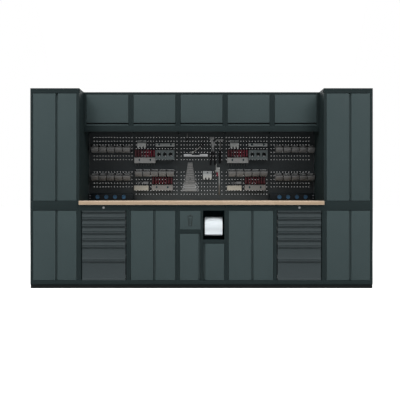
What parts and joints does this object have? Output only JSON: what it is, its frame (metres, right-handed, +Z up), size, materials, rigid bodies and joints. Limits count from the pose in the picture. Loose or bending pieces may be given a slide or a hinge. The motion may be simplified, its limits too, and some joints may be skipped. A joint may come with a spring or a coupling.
{
  "type": "tool cabinet",
  "caption": "Garage tool cabinet with tall cupboards, drawers, waste and paper bays under a wood worktop, perforated tool panels and lift-up overhead cupboards.",
  "frame": {"origin": "centre of the footprint, on the floor", "axes": "+X to the right seen from the front, +Y towards the wall, +Z up"},
  "size_m": [3.4994, 0.525, 2.046],
  "materials": {
    "door_paint": "satin grey-green paint",
    "drawer_paint": "satin dark grey paint",
    "frame_paint": "satin green-black paint",
    "black_paint": "matt black paint",
    "worktop_wood": "oiled beech",
    "zinc_steel": "zinc plated",
    "lock_chrome": "bright",
    "rack_grey": "light grey paint",
    "bin_grey": "grey plastic",
    "strip_black": "black plastic",
    "socket_blue": "blue plastic",
    "grip_red": "dark red plastic",
    "paper": "soft white paper",
    "bin_black": "black plastic"
  },
  "bodies": {
    "cabinet": {"plinth": "black_paint", "tall_left_case": "frame_paint", "tall_right_case": "frame_paint", "drawer_left_case": "frame_paint", "drawer_right_case": "frame_paint", "cupboard_left_case": "frame_paint", "cupboard_right_case": "frame_paint", "service_case": "frame_paint", "overhead_cases": "frame_paint", "worktop": "worktop_wood", "perforated_panels": "black_paint", "panel_rails": "black_paint", "hinge_pins": "zinc_steel", "drawer_runners": "zinc_steel", "shelves": "frame_paint", "waste_bin": "bin_black", "roll_spindle": "zinc_steel", "power_strips": "strip_black", "sockets": "socket_blue", "storage_bins": "bin_grey", "tool_racks": "rack_grey", "tool_grips": "grip_red", "hand_tools": "zinc_steel"},
    "tall_left_upper_door_left": {"tall_left_upper_door_left": "door_paint"},
    "tall_left_upper_door_right": {"tall_left_upper_door_right": "door_paint"},
    "tall_left_lower_door_left": {"tall_left_lower_door_left": "door_paint"},
    "tall_left_lower_door_right": {"tall_left_lower_door_right": "door_paint"},
    "tall_right_upper_door_left": {"tall_right_upper_door_left": "door_paint"},
    "tall_right_upper_door_right": {"tall_right_upper_door_right": "door_paint"},
    "tall_right_lower_door_left": {"tall_right_lower_door_left": "door_paint"},
    "tall_right_lower_door_right": {"tall_right_lower_door_right": "door_paint"},
    "cupboard_left_door_left": {"cupboard_left_door_left": "door_paint"},
    "cupboard_left_door_right": {"cupboard_left_door_right": "door_paint"},
    "cupboard_right_door_left": {"cupboard_right_door_left": "door_paint"},
    "cupboard_right_door_right": {"cupboard_right_door_right": "door_paint"},
    "waste_door": {"waste_door": "door_paint"},
    "roll_door": {"roll_door": "door_paint"},
    "waste_flap": {"waste_flap": "door_paint"},
    "paper_roll": {"paper_roll": "paper"},
    "overhead_flap_1": {"overhead_flap_1": "door_paint"},
    "overhead_flap_2": {"overhead_flap_2": "door_paint"},
    "overhead_flap_3": {"overhead_flap_3": "door_paint"},
    "overhead_flap_4": {"overhead_flap_4": "door_paint"},
    "overhead_flap_5": {"overhead_flap_5": "door_paint"},
    "drawer_left_1": {"drawer_left_1": "drawer_paint"},
    "drawer_left_2": {"drawer_left_2": "drawer_paint"},
    "drawer_left_3": {"drawer_left_3": "drawer_paint"},
    "drawer_left_4": {"drawer_left_4": "drawer_paint"},
    "drawer_left_5": {"drawer_left_5": "drawer_paint"},
    "drawer_left_6": {"drawer_left_6": "drawer_paint"},
    "drawer_left_7": {"drawer_left_7": "drawer_paint"},
    "lock_left": {"lock_left": "lock_chrome"},
    "drawer_right_1": {"drawer_right_1": "drawer_paint"},
    "drawer_right_2": {"drawer_right_2": "drawer_paint"},
    "drawer_right_3": {"drawer_right_3": "drawer_paint"},
    "drawer_right_4": {"drawer_right_4": "drawer_paint"},
    "drawer_right_5": {"drawer_right_5": "drawer_paint"},
    "drawer_right_6": {"drawer_right_6": "drawer_paint"},
    "drawer_right_7": {"drawer_right_7": "drawer_paint"},
    "lock_right": {"lock_right": "lock_chrome"}
  },
  "joints": [
    {"name": "tall_left_upper_door_left_hinge", "type": "hinge", "parent": "cabinet", "child": "tall_left_upper_door_left", "pos_m": [-1.7137, -0.2315, 1.4445], "axis": [0, 0, -1], "range_deg": [0, 95]},
    {"name": "tall_left_upper_door_right_hinge", "type": "hinge", "parent": "cabinet", "child": "tall_left_upper_door_right", "pos_m": [-1.2863, -0.2315, 1.4445], "axis": [0, 0, 1], "range_deg": [0, 95]},
    {"name": "tall_left_lower_door_left_hinge", "type": "hinge", "parent": "cabinet", "child": "tall_left_lower_door_left", "pos_m": [-1.7137, -0.2315, 0.439], "axis": [0, 0, -1], "range_deg": [0, 95]},
    {"name": "tall_left_lower_door_right_hinge", "type": "hinge", "parent": "cabinet", "child": "tall_left_lower_door_right", "pos_m": [-1.2863, -0.2315, 0.439], "axis": [0, 0, 1], "range_deg": [0, 95]},
    {"name": "tall_right_upper_door_left_hinge", "type": "hinge", "parent": "cabinet", "child": "tall_right_upper_door_left", "pos_m": [1.2863, -0.2315, 1.4445], "axis": [0, 0, -1], "range_deg": [0, 95]},
    {"name": "tall_right_upper_door_right_hinge", "type": "hinge", "parent": "cabinet", "child": "tall_right_upper_door_right", "pos_m": [1.7137, -0.2315, 1.4445], "axis": [0, 0, 1], "range_deg": [0, 95]},
    {"name": "tall_right_lower_door_left_hinge", "type": "hinge", "parent": "cabinet", "child": "tall_right_lower_door_left", "pos_m": [1.2863, -0.2315, 0.439], "axis": [0, 0, -1], "range_deg": [0, 95]},
    {"name": "tall_right_lower_door_right_hinge", "type": "hinge", "parent": "cabinet", "child": "tall_right_lower_door_right", "pos_m": [1.7137, -0.2315, 0.439], "axis": [0, 0, 1], "range_deg": [0, 95]},
    {"name": "cupboard_left_door_left_hinge", "type": "hinge", "parent": "cabinet", "child": "cupboard_left_door_left", "pos_m": [-0.7137, -0.2315, 0.439], "axis": [0, 0, -1], "range_deg": [0, 95]},
    {"name": "cupboard_left_door_right_hinge", "type": "hinge", "parent": "cabinet", "child": "cupboard_left_door_right", "pos_m": [-0.2773, -0.2315, 0.439], "axis": [0, 0, 1], "range_deg": [0, 95]},
    {"name": "cupboard_right_door_left_hinge", "type": "hinge", "parent": "cabinet", "child": "cupboard_right_door_left", "pos_m": [0.2863, -0.2315, 0.439], "axis": [0, 0, -1], "range_deg": [0, 95]},
    {"name": "cupboard_right_door_right_hinge", "type": "hinge", "parent": "cabinet", "child": "cupboard_right_door_right", "pos_m": [0.7227, -0.2315, 0.439], "axis": [0, 0, 1], "range_deg": [0, 95]},
    {"name": "waste_door_hinge", "type": "hinge", "parent": "cabinet", "child": "waste_door", "pos_m": [-0.2137, -0.2315, 0.3215], "axis": [0, 0, -1], "range_deg": [0, 95]},
    {"name": "roll_door_hinge", "type": "hinge", "parent": "cabinet", "child": "roll_door", "pos_m": [0.2227, -0.2315, 0.2705], "axis": [0, 0, 1], "range_deg": [0, 95]},
    {"name": "waste_flap_hinge", "type": "hinge", "parent": "cabinet", "child": "waste_flap", "pos_m": [-0.1162, -0.2315, 0.785], "axis": [1, 0, 0], "range_deg": [0, 70]},
    {"name": "paper_roll_turn", "type": "hinge", "parent": "cabinet", "child": "paper_roll", "pos_m": [0.1245, -0.1275, 0.629], "axis": [1, 0, 0], "continuous": true},
    {"name": "overhead_flap_1_hinge", "type": "hinge", "parent": "cabinet", "child": "overhead_flap_1", "pos_m": [-1, -0.0245, 2.013], "axis": [-1, 0, 0], "range_deg": [0, 95]},
    {"name": "overhead_flap_2_hinge", "type": "hinge", "parent": "cabinet", "child": "overhead_flap_2", "pos_m": [-0.5, -0.0245, 2.013], "axis": [-1, 0, 0], "range_deg": [0, 95]},
    {"name": "overhead_flap_3_hinge", "type": "hinge", "parent": "cabinet", "child": "overhead_flap_3", "pos_m": [0, -0.0245, 2.013], "axis": [-1, 0, 0], "range_deg": [0, 95]},
    {"name": "overhead_flap_4_hinge", "type": "hinge", "parent": "cabinet", "child": "overhead_flap_4", "pos_m": [0.5, -0.0245, 2.013], "axis": [-1, 0, 0], "range_deg": [0, 95]},
    {"name": "overhead_flap_5_hinge", "type": "hinge", "parent": "cabinet", "child": "overhead_flap_5", "pos_m": [1, -0.0245, 2.013], "axis": [-1, 0, 0], "range_deg": [0, 95]},
    {"name": "drawer_left_1_slide", "type": "slide", "parent": "cabinet", "child": "drawer_left_1", "axis": [0, -1, 0], "range_m": [0, 0.36]},
    {"name": "drawer_left_2_slide", "type": "slide", "parent": "cabinet", "child": "drawer_left_2", "axis": [0, -1, 0], "range_m": [0, 0.36]},
    {"name": "drawer_left_3_slide", "type": "slide", "parent": "cabinet", "child": "drawer_left_3", "axis": [0, -1, 0], "range_m": [0, 0.36]},
    {"name": "drawer_left_4_slide", "type": "slide", "parent": "cabinet", "child": "drawer_left_4", "axis": [0, -1, 0], "range_m": [0, 0.36]},
    {"name": "drawer_left_5_slide", "type": "slide", "parent": "cabinet", "child": "drawer_left_5", "axis": [0, -1, 0], "range_m": [0, 0.36]},
    {"name": "drawer_left_6_slide", "type": "slide", "parent": "cabinet", "child": "drawer_left_6", "axis": [0, -1, 0], "range_m": [0, 0.36]},
    {"name": "drawer_left_7_slide", "type": "slide", "parent": "cabinet", "child": "drawer_left_7", "axis": [0, -1, 0], "range_m": [0, 0.36]},
    {"name": "lock_left_turn", "type": "hinge", "parent": "cabinet", "child": "lock_left", "pos_m": [-1, -0.2375, 0.8255], "axis": [0, 1, 0], "range_deg": [0, 90]},
    {"name": "drawer_right_1_slide", "type": "slide", "parent": "cabinet", "child": "drawer_right_1", "axis": [0, -1, 0], "range_m": [0, 0.36]},
    {"name": "drawer_right_2_slide", "type": "slide", "parent": "cabinet", "child": "drawer_right_2", "axis": [0, -1, 0], "range_m": [0, 0.36]},
    {"name": "drawer_right_3_slide", "type": "slide", "parent": "cabinet", "child": "drawer_right_3", "axis": [0, -1, 0], "range_m": [0, 0.36]},
    {"name": "drawer_right_4_slide", "type": "slide", "parent": "cabinet", "child": "drawer_right_4", "axis": [0, -1, 0], "range_m": [0, 0.36]},
    {"name": "drawer_right_5_slide", "type": "slide", "parent": "cabinet", "child": "drawer_right_5", "axis": [0, -1, 0], "range_m": [0, 0.36]},
    {"name": "drawer_right_6_slide", "type": "slide", "parent": "cabinet", "child": "drawer_right_6", "axis": [0, -1, 0], "range_m": [0, 0.36]},
    {"name": "drawer_right_7_slide", "type": "slide", "parent": "cabinet", "child": "drawer_right_7", "axis": [0, -1, 0], "range_m": [0, 0.36]},
    {"name": "lock_right_turn", "type": "hinge", "parent": "cabinet", "child": "lock_right", "pos_m": [1, -0.2375, 0.8255], "axis": [0, 1, 0], "range_deg": [0, 90]}
  ]
}
